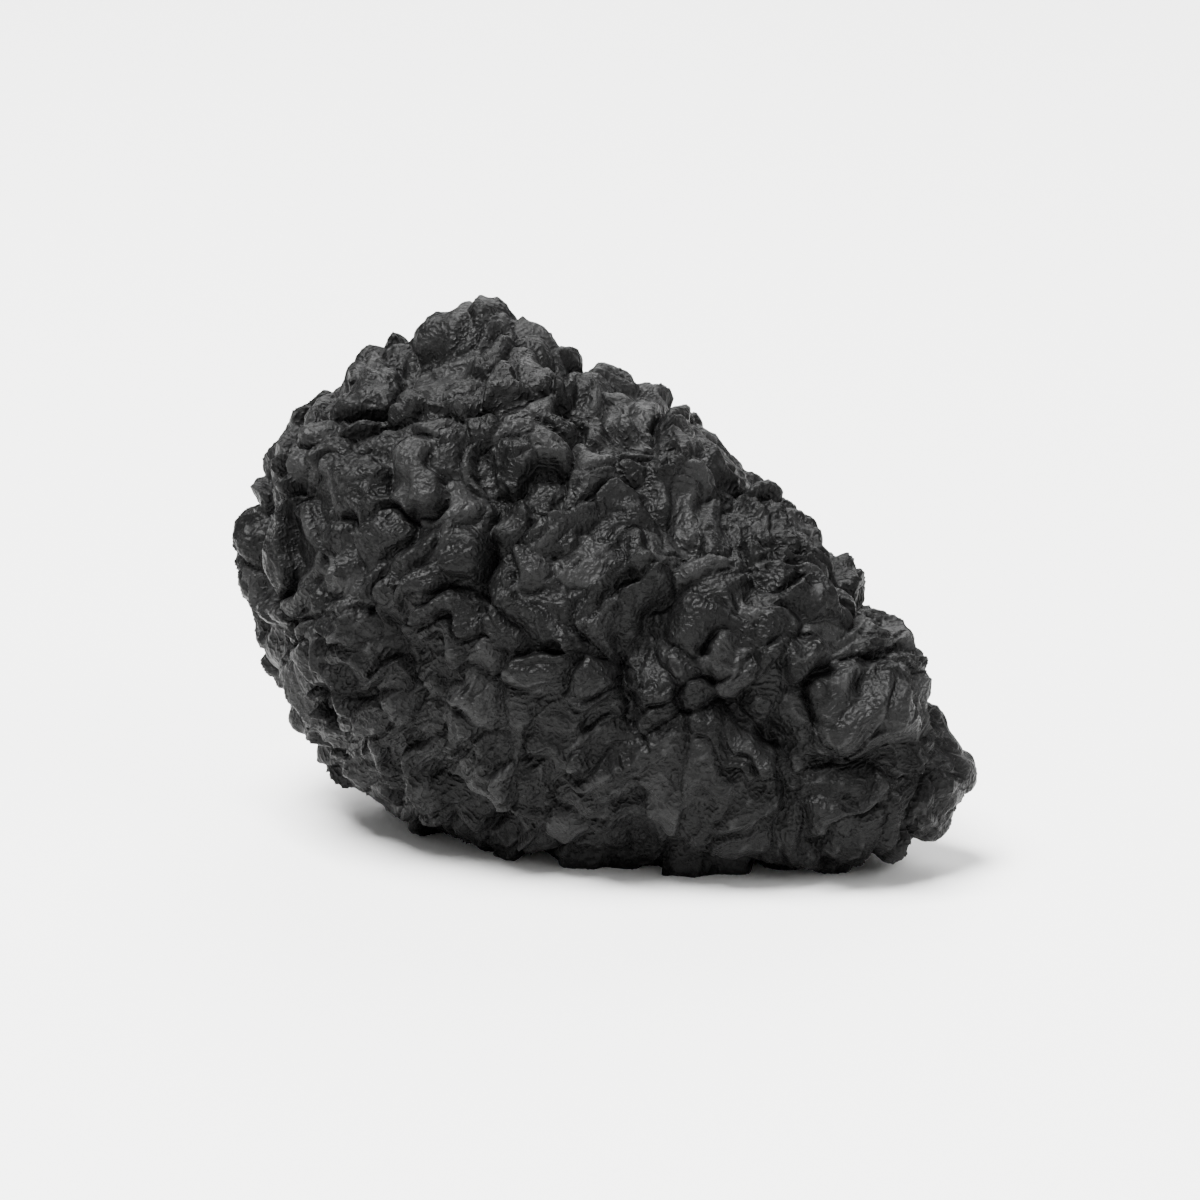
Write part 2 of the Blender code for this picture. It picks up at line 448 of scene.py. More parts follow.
@dataclass(frozen=True)
class DriedStalkBark:
    """Dried fruit stalk: bark shrunk onto its fibres.

    It gives the eye a dull orange brown, darker in the grooves and where juice stained it, and paler on
    the broken end.

    Attributes:
        name: Name of the material.
        groove: Colour between the fibres, and of the flecks.
        ridge: Colour of the fibres' backs.
        pith: Colour of the broken end.
        stain: Colour of the juice stain near the fruit.
        ridge_range: Heights on a fibre between which the colour of its back sets in.
        fleck_range: Values of the flecks' pattern between which they set in.
        roughness: Roughness of the surface.
        ior: Index of refraction of dry wood.
        shine: Level of the mirror light.
        flecks: Pattern of the flecks.
    """

    name: str = "dried_stalk_bark"
    groove: str = "#22150c"
    ridge: str = "#462d17"
    pith: str = "#553d24"
    stain: str = "#16100d"
    ridge_range: Pair = (0.2, 0.9)
    fleck_range: Pair = (0.5, 0.8)
    roughness: float = 0.72
    ior: float = 1.5
    shine: float = 0.3
    flecks: Grain = Grain(0.2 * MM, 4.0, 0.015 * MM)

    def material(self) -> bpy.types.Material:
        """The bark as a node material, with its colours laid over each other as the skin's are.

        Returns:
            The material, which reads Object coordinates and the piece's own attributes.
        """
        made = bpy.data.materials.new(self.name)
        made.use_nodes = True
        tree = made.node_tree
        tree.nodes.clear()
        place = add_node(tree, "TexCoord").outputs["Object"]
        ridge, tone, pith = (
            add_node(tree, "Attribute", {"attribute_name": name}).outputs["Fac"]
            for name in ("ridge", "tone", "pith")
        )
        flecks = add_node(
            tree, "TexNoise", vector=place, scale=1 / self.flecks.length, detail=self.flecks.detail
        ).outputs[0]
        backs, spots = (
            add_node(tree, "MapRange", SMOOTH, value=pattern, from_min=low, from_max=high).outputs[0]
            for pattern, (low, high) in ((ridge, self.ridge_range), (flecks, self.fleck_range))
        )
        bark = linear_rgb(self.groove)
        colours = (self.ridge, self.pith, self.groove, self.stain)
        for share, colour in zip((backs, pith, spots, tone), colours):
            bark = add_node(
                tree, "Mix", COLOUR, input_0=share, input_6=bark, input_7=linear_rgb(colour)
            ).outputs[2]
        bump = add_node(tree, "Bump", distance=self.flecks.depth, height=flecks)
        shader = add_node(
            tree,
            "BsdfPrincipled",
            base_color=bark,
            roughness=self.roughness,
            ior=self.ior,
            specular_ior_level=self.shine,
            normal=bump.outputs["Normal"],
        )
        add_node(tree, "OutputMaterial", surface=shader.outputs["BSDF"])
        return made


@dataclass(frozen=True)
class TableTop:
    """A pale, matt table top.

    Attributes:
        name: Name of the material.
        colour: Its colour.
        roughness: Roughness of the surface.
    """

    name: str = "pale_table_top"
    colour: str = "#fbfbfa"
    roughness: float = 0.65

    def material(self) -> bpy.types.Material:
        """One plain colour, because it is not part of the object.

        Returns:
            The material.
        """
        made = bpy.data.materials.new(self.name)
        made.use_nodes = True
        shader = made.node_tree.nodes["Principled BSDF"]
        shader.inputs["Base Color"].default_value = linear_rgb(self.colour)
        shader.inputs["Roughness"].default_value = self.roughness
        return made


# The fruit


@dataclass(frozen=True)
class Swelling:
    """A swelling of the core, or a hollow where its height is negative.

    Attributes:
        direction: Direction from the core's centre.
        height: How far it stands out.
        spread: How widely it spreads, as 1 minus a cosine.
    """

    direction: Triple
    height: float
    spread: float


@dataclass(frozen=True)
class Core:
    """The egg that the drupelets sit on, with its blunt end at the stalk.

    Attributes:
        centre: Its middle.
        half_length, half_width, half_height: Its half sizes.
        turn, dip: Angles of its axis to +X, seen from above, and under level at the narrow end.
        taper: Share by which its girth shrinks from the middle to the narrow end.
        swellings: What swells and sinks on it.
    """

    centre: Triple = (0.0, -2.0 * MM, 5.15 * MM)
    half_length: float = 8.0 * MM
    half_width: float = 4.6 * MM
    half_height: float = 4.45 * MM
    turn: float = math.radians(-28)
    dip: float = math.radians(16)
    taper: float = 0.34
    swellings: tuple[Swelling, ...] = (
        Swelling((-0.6, 0.2, 0.77), 0.5 * MM, 0.2),
        Swelling((-0.25, 0.2, 0.94), 0.65 * MM, 0.025),
        Swelling((-0.98, 0.1, 0.1), 0.15 * MM, 0.02),
        Swelling((0.9, -0.1, -0.42), 1.0 * MM, 0.08),
        Swelling((0.93, -0.2, -0.26), 0.1 * MM, 0.01),
        Swelling((0.25, -0.95, -0.05), -0.5 * MM, 0.05),
        Swelling((0.1, 0.97, 0.2), -0.6 * MM, 0.07),
    )

    def axes(self) -> Array:
        """The core's axes: along it to the narrow end, level across it, and at right angles to both.

        Returns:
            The three axes as columns, the last towards its back.
        """
        level = math.cos(self.dip)
        along = np.array([level * math.cos(self.turn), level * math.sin(self.turn), -math.sin(self.dip)])
        side = unit_rows(np.cross([0.0, 0.0, 1.0], along))
        return np.stack([along, side, np.cross(along, side)], axis=1)

    def direction(self, world: Triple) -> Array:
        """A world direction as a unit vector in the core's axes."""
        return unit_rows(np.array(world)) @ self.axes()

    def points(self, units: Array) -> Array:
        """Points of the core for unit vectors in its axes.

        The vector is stretched to the half sizes, its girth shrinks evenly to the narrow end, and each
        swelling adds height x exp((cosine of the angle to it - 1) / spread).

        Args:
            units: Unit vectors, as an array of any shape ending in 3.

        Returns:
            World points in the same shape.
        """
        girth = 1 - self.taper * units[..., :1]
        local = np.concatenate([units[..., :1], girth * units[..., 1:]], axis=-1)
        local = local * [self.half_length, self.half_width, self.half_height]
        for swelling in self.swellings:
            nearness = units @ self.direction(swelling.direction)
            local += swelling.height * np.exp((nearness - 1) / swelling.spread)[..., None] * units
        return local @ self.axes().T + np.array(self.centre)

    def normals(self, units: Array) -> Array:
        """Outward directions of the core, taken from the plain ellipsoid of its size."""
        local = units / np.array([self.half_length, self.half_width, self.half_height])
        return unit_rows(local) @ self.axes().T


@dataclass(frozen=True)
class Form:
    """Form of the lumps of one kind.

    Attributes:
        dome: Height of a lump's dome over its rim, at a distance of one radius.
        radius: That distance.
        blend: Width over which one lump runs into the next.
        lean: Spread of the slopes of their tops.
    """

    dome: float
    radius: float
    blend: float
    lean: float


@dataclass
class Lumps:
    """Lumps that cover a surface side by side, as arrays with one row for each.

    Attributes:
        places: Middles.
        levels: How far each stands out from the rest.
        slopes: How each one's top leans, as a rise for each unit of length along each axis.
        form: Their form.
        nearest: How many of the nearest lumps count at a point.
        chunk: About how many points are worked out at once, to save memory.
    """

    places: Array
    levels: Array
    slopes: Array
    form: Form
    nearest: int = 4
    chunk: int = 20000

    def at(self, points: Array) -> tuple[Array, Array, Array]:
        """Height of the lumps, the distance to their borders, and which one is the nearest.

        A lump's height is level + slope along the way from its middle - dome x (distance / radius)^2. Of
        the nearest few, each counts by exp(-(its squared distance - the least) / blend^2). The border is
        where the two nearest middles are equally far off.

        Args:
            points: Points by 3.

        Returns:
            Heights, border distances and indices, one for each point.
        """
        heights, borders, owners = [], [], []
        for part in np.array_split(points, max(1, len(points) // self.chunk)):
            squares = (part**2).sum(axis=1)[:, None] + (self.places**2).sum(axis=1)
            squares = squares - 2 * part @ self.places.T
            close = np.argpartition(squares, self.nearest, axis=1)[:, : self.nearest]
            square = np.take_along_axis(squares, close, axis=1)
            order = np.argsort(square, axis=1)
            close = np.take_along_axis(close, order, axis=1)
            square = np.take_along_axis(square, order, axis=1)
            away = part[:, None] - self.places[close]
            height = self.levels[close] + (self.slopes[close] * away).sum(axis=2)
            height -= self.form.dome * square / self.form.radius**2
            share = np.exp(-(square - square[:, :1]) / self.form.blend**2)
            heights.append((share * height).sum(axis=1) / share.sum(axis=1))
            apart = np.linalg.norm(self.places[close[:, 1]] - self.places[close[:, 0]], axis=1)
            borders.append((square[:, 1] - square[:, 0]) / (2 * apart))
            owners.append(close[:, 0])
        return np.concatenate(heights), np.concatenate(borders), np.concatenate(owners)


@dataclass(frozen=True)
class Run:
    """A way that folds run.

    Attributes:
        way: The direction that a fold keeps to.
        place: Where this way holds most.
        draw: Share by which the folds are drawn out along it.
    """

    way: Triple
    place: Triple
    draw: float


class FoldRun(Enum):
    """The ways that the folds of the skin run."""

    UPRIGHT = Run((0.1, 0.1, 0.99), (-6.5 * MM, -3.0 * MM, 6.0 * MM), 0.5)
    LENGTHWISE = Run((0.99, -0.1, -0.1), (0.5 * MM, -6.5 * MM, 3.0 * MM), 0.65)
    ASLANT = Run((0.6, -0.2, 0.77), (-3.5 * MM, -5.5 * MM, 6.5 * MM), 0.5)


@dataclass(frozen=True)
class Folds:
    """Folds of one size.

    Attributes:
        length: Wavelength of the field that they follow.
        height: Height of a fold.
        seed: Seed of that field for the first way that folds run. Each further way adds WAY_SEED_STEP.
        steepness: How steeply a fold rises from where the field is zero.
        crested: Whether a thin crest stands where the field is zero, in place of a crease.
        mean: Mean of the fold's shape, taken off so that folds neither swell nor shrink the fruit.
        weight: Its part in how far a point stands out.
    """

    length: float
    height: float
    seed: int
    steepness: float
    crested: bool
    mean: float
    weight: float

    def shape(self, points: Array, way: int) -> Array:
        """tanh(steepness x |field|), or 1 minus that for crests, with the field of one of the ways."""
        rise = self.steepness * np.abs(WaveField(self.length, self.seed + WAY_SEED_STEP * way).at(points))
        return 1 - np.tanh(rise) if self.crested else np.tanh(rise)


@dataclass(frozen=True)
class Crumple:
    """The crumpling of the skin: folds of several sizes, which run together where the skin shrank one way.

    Attributes:
        folds: The folds, the widest first.
        run_length: Wavelength of the slow fields that choose between the ways.
        run_seed: Seed of the first of them.
        run_help: What a way gains at its own place.
        run_reach: How far round its place that works.
        run_contrast: How clearly one way holds.
        calm: Field that leaves some of the skin smoother.
        calm_range: Values of that field where the skin is smoothest and where it is fully folded.
        calm_share: Share of the folds that the smoothest skin keeps.
    """

    folds: tuple[Folds, ...] = (
        Folds(0.9 * MM, 0.07 * MM, 31, 1.3, False, 0.6, 1 / 3),
        Folds(0.5 * MM, 0.08 * MM, 36, 1.8, True, 0.25, 2 / 3),
        Folds(0.28 * MM, 0.045 * MM, 37, 1.8, True, 0.25, 2 / 3),
        Folds(0.15 * MM, 0.016 * MM, 38, 1.8, True, 0.25, 0.0),
    )
    run_length: float = 5.0 * MM
    run_seed: int = 61
    run_help: float = 2.0
    run_reach: float = 3.0 * MM
    run_contrast: float = 4.0
    calm: WaveField = WaveField(2.4 * MM, 71)
    calm_range: Pair = (-0.9, 0.6)
    calm_share: float = 0.45

    def shares(self, points: Array) -> Array:
        """How much each way holds at each point.

        A way's strength is its slow field + help x exp(-(distance to its place / reach)^2). The shares are
        exp(contrast x strength), divided by their sum.

        Args:
            points: Points by 3.

        Returns:
            Ways by points, which add up to 1 at each point.
        """
        strengths = []
        for index, run in enumerate(FoldRun):
            square = ((points - np.array(run.value.place)) ** 2).sum(axis=1)
            slow = WaveField(self.run_length, self.run_seed + index).at(points)
            strengths.append(slow + self.run_help * np.exp(-square / self.run_reach**2))
        shares = np.exp(self.run_contrast * (np.stack(strengths) - np.max(strengths, axis=0)))
        return shares / shares.sum(axis=0)

    def at(self, points: Array) -> tuple[Array, Array]:
        """Height of the folds: the sum over ways and sizes of share x height x (shape - mean).

        Each shape is read in a space that is drawn out along the way that the folds run.

        Args:
            points: Points by 3.

        Returns:
            Heights, and how far each point stands out, from 0 in the creases to about 1 on the crests.
        """
        total = np.zeros(len(points))
        backs = np.zeros(len(points))
        for index, (run, share) in enumerate(zip(FoldRun, self.shares(points))):
            way = unit_rows(np.array(run.value.way))
            drawn = points - run.value.draw * (points @ way)[:, None] * way
            for folds in self.folds:
                shape = folds.shape(drawn, index)
                total += share * folds.height * (shape - folds.mean)
                backs += share * folds.weight * shape
        calm = smooth_step(*self.calm_range, self.calm.at(points))
        return total * (self.calm_share + (1 - self.calm_share) * calm), backs


@dataclass(frozen=True)
class Wedge:
    """A sharp wedge that stands out of the skin or is cut into it, height x exp(-distance / width).

    Attributes:
        height: Height or depth at its middle.
        width: Distance at which it has fallen to about a third.
    """

    height: float
    width: float

    def at(self, distances: Array) -> Array:
        """Height or depth at distances from its middle."""
        return self.height * np.exp(-distances / self.width)


@dataclass
class FruitHead:
    """The head: one crumpled skin over the drupelets and their lobes.

    Attributes:
        core: The egg under it.
        flesh: Thickness of the flesh over the core.
        drupelet_count: How many drupelets there are.
        spiral_samples: Steps in which the core's area is added up along it.
        place_spread: Spread of their places round the even spiral.
        seed: Seed of what differs from one drupelet to the next.
        tone_seed: Seed of the lobes' tones.
        level_spread: Spread of the heights of drupelets and of lobes.
        drupelet_form, lobe_form: Form of drupelets and of lobes.
        lobe_limit: How far lobes go up or down, by limit x tanh(height / limit).
        lobes_each: How many lobes a drupelet shrank into.
        lobe_offset: How far from its middle the outermost lobe lies.
        lobe_turn_spread, lobe_place_spread: Spread of their places round the drupelet and outwards.
        belly_sag: How much further the belly reaches down, where it gave way under the fruit's weight.
        stalk_direction: Direction from the core's centre to the stalk.
        stalk_hollow, stalk_hollow_radius: Depth and radius of the hollow round the stalk.
        bends: Distances by which the space under the lumps is bent, and the fields that bend it.
        nubs: Dried rests of flowers, as their directions from the core's centre and their wedges.
        crumple: Folds of the skin.
        drupelet_crack, lobe_crack: Cracks along the borders of drupelets and of lobes.
        border_shade_width: Width of the band along a lobe's border where the ridge is lowered, for painted
            shade.
        border_shade_share: Share of the ridge that is taken off on that border, as painted shade.
        rings, spokes: Points of the grid along the fruit and round it.
        slices: Pieces that the skin is cut into.
        skin: Finish of the skin.
    """

    core: Core = Core()
    flesh: float = 1.0 * MM
    drupelet_count: int = 106
    spiral_samples: int = 400
    place_spread: float = 0.35 * MM
    seed: int = 11
    tone_seed: int = 12
    level_spread: float = 0.07 * MM
    drupelet_form: Form = Form(0.26 * MM, 1.35 * MM, 0.45 * MM, 0.1)
    lobes_each: int = 6
    lobe_offset: float = 1.05 * MM
    lobe_turn_spread: float = 0.25
    lobe_place_spread: float = 0.1 * MM
    lobe_form: Form = Form(0.16 * MM, 0.48 * MM, 0.17 * MM, 0.34)
    lobe_limit: float = 0.42 * MM
    belly_sag: float = 0.8 * MM
    stalk_direction: Triple = (-0.62, 0.76, 0.2)
    stalk_hollow: float = 0.8 * MM
    stalk_hollow_radius: float = 1.2 * MM
    bends: tuple[tuple[float, WaveField], ...] = (
        (0.25 * MM, WaveField(2.6 * MM, 21)),
        (0.1 * MM, WaveField(0.9 * MM, 22)),
    )
    nubs: tuple[tuple[Triple, Wedge], ...] = (((-0.3, 0.33, 0.89), Wedge(0.4 * MM, 0.5 * MM)),)
    crumple: Crumple = Crumple()
    drupelet_crack: Wedge = Wedge(0.05 * MM, 0.1 * MM)
    lobe_crack: Wedge = Wedge(0.04 * MM, 0.06 * MM)
    border_shade_width: float = 0.1 * MM
    border_shade_share: float = 0.5
    rings: int = 561
    spokes: int = 720
    slices: int = 5
    skin: DriedSkin = DriedSkin()

    def stalk_root(self) -> tuple[Array, Array]:
        """Where the stalk leaves the core, and its direction there."""
        unit = self.core.direction(self.stalk_direction)[None]
        return self.core.points(unit)[0], self.core.normals(unit)[0]

    def spiral(self) -> Array:
        """Places of the drupelets: even in area along the axis, a golden angle apart round it.

        Returns:
            Unit vectors in the core's axes, one for each drupelet.
        """
        core = self.core
        reach = np.linspace(-1, 1, self.spiral_samples)
        strip = np.hypot(core.half_length * np.sqrt(1 - reach**2), core.half_width * reach)
        area = np.cumsum(strip * (1 - core.taper * reach))
        shares = (np.arange(self.drupelet_count) + 0.5) / self.drupelet_count
        along = np.interp(shares * area[-1], area, reach)
        azimuth = GOLDEN_ANGLE * np.arange(self.drupelet_count)
        across = np.sqrt(1 - along**2)
        return np.stack([along, across * np.cos(azimuth), across * np.sin(azimuth)], axis=1)

    def downward(self, normals: Array) -> Array:
        """How much surfaces with these normals face down: the square of the part under level, 0 to 1."""
        return np.clip(-normals[:, 2], 0, None) ** 2

    def drupelets(self) -> tuple[Lumps, Lumps]:
        """Lays out the drupelets and their lobes.

        Drupelets keep to the spiral, but one moves to the top of each swelling. The lobes of each stand
        round its middle on a spiral of their own, a golden angle apart: the k-th of n, counted from 0, at
        offset x sqrt((k + 1/2) / n).

        Returns:
            The drupelets, and the lobes of all of them.
        """
        rng = np.random.default_rng(self.seed)
        count = self.drupelet_count
        units = self.spiral()
        shift = rng.normal(0, self.place_spread, (count, 2))
        for swelling in self.core.swellings:
            if swelling.height > 0:
                top = self.core.direction(swelling.direction)
                nearest = np.argmax(units @ top)
                units[nearest] = top
                shift[nearest] = 0
        normals = self.core.normals(units)
        axis = self.core.axes()[:, 0]
        along = unit_rows(axis - normals * (normals @ axis)[:, None])
        across = np.cross(normals, along)
        places = self.core.points(units) + shift[:, :1] * along + shift[:, 1:] * across
        drupelets = Lumps(
            places,
            (1 - self.downward(normals)) * rng.normal(0.0, self.level_spread, count),
            rng.normal(0.0, self.drupelet_form.lean, (count, 3)),
            self.drupelet_form,
        )
        each = self.lobes_each
        turns = rng.uniform(0, 2 * math.pi, count)[:, None] + GOLDEN_ANGLE * np.arange(each)
        turns = turns + rng.normal(0, self.lobe_turn_spread, turns.shape)
        reach = self.lobe_offset * np.sqrt((np.arange(each) + 0.5) / each)
        reach = (reach + rng.normal(0, self.lobe_place_spread, turns.shape))[..., None]
        spots = places[:, None] + reach * (
            np.cos(turns)[..., None] * along[:, None] + np.sin(turns)[..., None] * across[:, None]
        )
        spots = spots.reshape(-1, 3)
        lobes = Lumps(
            spots,
            rng.normal(0.0, self.level_spread, len(spots)),
            rng.normal(0.0, self.lobe_form.lean, (len(spots), 3)),
            self.lobe_form,
        )
        return drupelets, lobes

    def relief(self, points: Array, normals: Array) -> tuple[Array, dict[str, Array]]:
        """How far the skin stands over the core, and what its finish reads.

        The height is flesh + sag + drupelets + lobes + folds - cracks - hollow x exp(-(distance to the
        stalk / radius)^2) + nubs. Drupelets, lobes, folds and cracks are read in a space that the bends
        bend. The ridge is how far folds stand out x (1 - share x exp(-distance to the border / width)). The
        skin's colour paints shade where it is low and a highlight, partly a powdery film, where it is high.

        Args:
            points: Points of the core, as points by 3.
            normals: Its outward directions there.

        Returns:
            Heights, and the values of each attribute, one for each point.
        """
        bent = points + sum(distance * waves.vectors_at(points) for distance, waves in self.bends)
        drupelets, lobes = self.drupelets()
        rise, gap, _ = drupelets.at(bent)
        bulge, split, owner = lobes.at(bent)
        bulge = self.lobe_limit * np.tanh(bulge / self.lobe_limit)
        fold, backs = self.crumple.at(bent)
        cracks = self.drupelet_crack.at(gap) + self.lobe_crack.at(split)
        root, _ = self.stalk_root()
        away = ((points - root) ** 2).sum(axis=1) / self.stalk_hollow_radius**2
        sag = self.belly_sag * self.downward(normals)
        height = self.flesh + sag + rise + bulge + fold - cracks - self.stalk_hollow * np.exp(-away)
        for direction, wedge in self.nubs:
            top = self.core.points(self.core.direction(direction)[None])[0]
            height += wedge.at(np.linalg.norm(points - top, axis=1))
        # The skin's colour reads this ridge: painted shade where it is low, lowered further along lobe
        # borders, and a painted highlight with a powdery film where it is high
        ridge = np.clip(backs * (1 - self.border_shade_share * np.exp(-split / self.border_shade_width)), 0, 1)
        tone = np.random.default_rng(self.tone_seed).uniform(0, 1, len(lobes.places))[owner]
        return height, {"ridge": ridge, "tone": tone}

    def build(self) -> list[bpy.types.Object]:
        """Builds the skin: each grid point of the core is moved along its normal by the relief.

        What would go under the table is laid flat on it.

        Returns:
            The slices of the skin, from the narrow end.
        """
        units = sphere_grid(np.linspace(0, math.pi, self.rings), self.spokes)
        # The grid's pole becomes the egg's narrow end.
        units = units[..., [2, 0, 1]]
        smooth = self.core.points(units)
        normals = self.core.normals(units)
        height, attributes = self.relief(smooth.reshape(-1, 3), normals.reshape(-1, 3))
        shape = (self.rings, self.spokes)
        grid = smooth + height.reshape(shape)[..., None] * normals
        grid[0] = grid[0].mean(axis=0)
        grid[-1] = grid[-1].mean(axis=0)
        grid[..., 2] = np.maximum(grid[..., 2], 0.0)
        return self.sliced(grid, {key: values.reshape(shape) for key, values in attributes.items()})

    def sliced(self, grid: Array, attributes: dict[str, Array]) -> list[bpy.types.Object]:
        """Cuts the skin across into closed slices, which share their rims and their shading.

        Args:
            grid: Rings by spokes by 3.
            attributes: Values for each grid point, as rings by spokes, by attribute name.

        Returns:
            The slices.
        """
        normals = grid_normals(grid)
        finish = self.skin.material()
        pieces = []
        cuts = np.linspace(0, self.rings - 1, self.slices + 1).astype(int).tolist()
        for number, (first, last) in enumerate(zip(cuts[:-1], cuts[1:]), start=1):
            body, shading, *values = (
                self.capped(whole[first : last + 1], first > 0, last < self.rings - 1)
                for whole in (grid, normals, *attributes.values())
            )
            piece = mesh_piece(f"skin_slice_{number}", body, dict(zip(attributes, values)), shading)
            piece.data.materials.append(finish)
            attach(piece, "root")
            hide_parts(HEAD_NODE)
            pieces.append(piece)
        return pieces

    def capped(self, rows: Array, at_start: bool, at_end: bool) -> Array:
        """The rings, with the mean of the rim as one more ring at the start, at the end or at both."""
        start, end = (np.broadcast_to(rim.mean(axis=0), rim.shape)[None] for rim in (rows[0], rows[-1]))
        return np.concatenate([start] * at_start + [rows] + [end] * at_end)


@dataclass
class Stalk:
    """The dried stalk: straight out of the fruit, then bent round behind it, and broken off.

    Attributes:
        radius: Its radius where it leaves the fruit.
        radii: Shares of that radius, the first for the foot, the rest spread over the bent run.
        depth: How far it goes into the core.
        straight, bent: Lengths of the straight and the bent run outside the core.
        bend: Angle that the bent run turns through.
        bend_towards: Direction that it turns to.
        rings, end_rings, spokes: Points along the bark, over the broken end and round both.
        fibre_widths, fibre_depths: Widths of the shrunken fibres and depths of the grooves between them.
        fibre_seed: Seed of the first set of fibres. Each further set adds 1.
        fibre_steepness: How steeply a fibre rises from its groove.
        fibre_draw: Share of the length that the fibres' fields see, which draws them out along the stalk.
        break_height, break_length: Height and length of the teeth on the rim of the broken end.
        break_seed: Seed of the field that they follow.
        break_run: Length of bark over which they set in.
        break_range: Shares of the radius between which they set in on the broken end.
        pith_depth: How far the pith lies under the rim.
        pith_range: Shares of the radius between which it sinks.
        pith_tint_range: Shares of the radius between which its colour sets in.
        grain, grain_length, grain_seed: Height, length and seed of the roughness all over.
        stained: Lengths along the stalk between which the juice stain fades.
        finish: Finish of the bark.
    """

    radius: float = 0.4 * MM
    radii: tuple[float, ...] = (1.1, 1.1, 1.0, 0.9, 0.88, 0.9, 1.25)
    depth: float = 1.3 * MM
    straight: float = 1.7 * MM
    bent: float = 2.9 * MM
    bend: float = math.radians(40)
    bend_towards: Triple = (0.0, 1.0, -0.2)
    rings: int = 200
    end_rings: int = 24
    spokes: int = 144
    fibre_widths: tuple[float, ...] = (0.6 * MM, 0.28 * MM, 0.13 * MM)
    fibre_depths: tuple[float, ...] = (0.05 * MM, 0.03 * MM, 0.012 * MM)
    fibre_seed: int = 81
    fibre_steepness: float = 1.3
    fibre_draw: float = 0.1
    break_height: float = 0.06 * MM
    break_length: float = 0.28 * MM
    break_seed: int = 91
    break_run: float = 0.3 * MM
    break_range: Pair = (0.4, 1.0)
    pith_depth: float = 0.12 * MM
    pith_range: Pair = (0.95, 0.7)
    pith_tint_range: Pair = (1.0, 0.85)
    grain: float = 0.008 * MM
    grain_length: float = 0.14 * MM
    grain_seed: int = 77
    stained: Pair = (3.2 * MM, 1.8 * MM)
    finish: DriedStalkBark = DriedStalkBark()

    def build(self, root: Array, direction: Array) -> bpy.types.Object:
        """Builds the stalk as a profile carried along its path.

        The path is a straight line and then an arc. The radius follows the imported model's shares along it,
        less depth x (1 - tanh(steepness x |field|)) for each set of fibres. The rings of the broken end
        shrink to its middle. Their rim follows a field round it, and the pith inside lies lower.

        Args:
            root: Where it leaves the core.
            direction: Its direction there.

        Returns:
            The stalk.
        """
        aside = np.array(self.bend_towards)
        aside = unit_rows(aside - direction * (aside @ direction))
        run = self.depth + self.straight
        end = run + self.bent
        length = np.append(np.linspace(0, end, self.rings), np.full(self.end_rings, end))
        share = np.append(np.ones(self.rings), np.linspace(1, 0, self.end_rings + 1)[1:])
        turn = np.clip((length - run) / self.bent, 0, 1)[:, None] * self.bend
        bow = (self.bent / self.bend) * (direction * np.sin(turn) + aside * (1 - np.cos(turn)))
        path = root + direction * (np.minimum(length, run) - self.depth)[:, None] + bow
        tangent = direction * np.cos(turn) + aside * np.sin(turn)
        other = np.broadcast_to(np.cross(direction, aside), tangent.shape)
        first = np.cross(tangent, other)
        knots = np.concatenate([[0], run + np.linspace(0, self.bent, len(self.radii) - 1)])
        radius = self.radius * np.interp(length, knots, self.radii)
        azimuth = np.arange(self.spokes) * (2 * math.pi / self.spokes)
        shape = (len(length), self.spokes)
        level = self.radius * np.cos(azimuth), self.radius * np.sin(azimuth)
        seen = (*level, self.fibre_draw * length[:, None])
        seen = np.stack([np.broadcast_to(values, shape) for values in seen], axis=-1)
        groove = np.zeros(shape)
        for index, (width, depth) in enumerate(zip(self.fibre_widths, self.fibre_depths)):
            fibres = np.abs(WaveField(width, self.fibre_seed + index).at(seen))
            groove += depth * (1 - np.tanh(self.fibre_steepness * fibres))
        reach = share[:, None] * (radius[:, None] - groove)
        reach[0] = 0
        follows = smooth_step(end - self.break_run, end, length) * smooth_step(*self.break_range, share)
        jagged = self.break_height * WaveField(self.break_length, self.break_seed).at(seen[-1])
        rise = jagged * follows[:, None] - self.pith_depth * smooth_step(*self.pith_range, share)[:, None]
        grid = path[:, None] + rise[..., None] * tangent[:, None] + reach[..., None] * (
            np.cos(azimuth)[:, None] * first[:, None] + np.sin(azimuth)[:, None] * other[:, None]
        )
        rough = self.grain * WaveField(self.grain_length, self.grain_seed).at(grid)
        rough[[0, -1]] = 0
        grid = grid + rough[..., None] * grid_normals(grid)
        stain = np.broadcast_to(smooth_step(*self.stained, length)[:, None], shape)
        pith = np.broadcast_to(smooth_step(*self.pith_tint_range, share)[:, None], shape)
        ridge = 1 - groove / sum(self.fibre_depths)
        piece = mesh_piece("stalk_bark", grid, {"ridge": ridge, "tone": stain, "pith": pith})
        piece.data.materials.append(self.finish.material())
        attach(piece, "root")
        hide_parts(STALK_NODE)
        return piece


# The studio


@dataclass(frozen=True)
class SoftLight:
    """A square soft box.

    Attributes:
        name: Name of the light.
        place: Where it is.
        side: Length of its side.
        power: Its power in watts.
    """

    name: str
    place: Triple
    side: float
    power: float


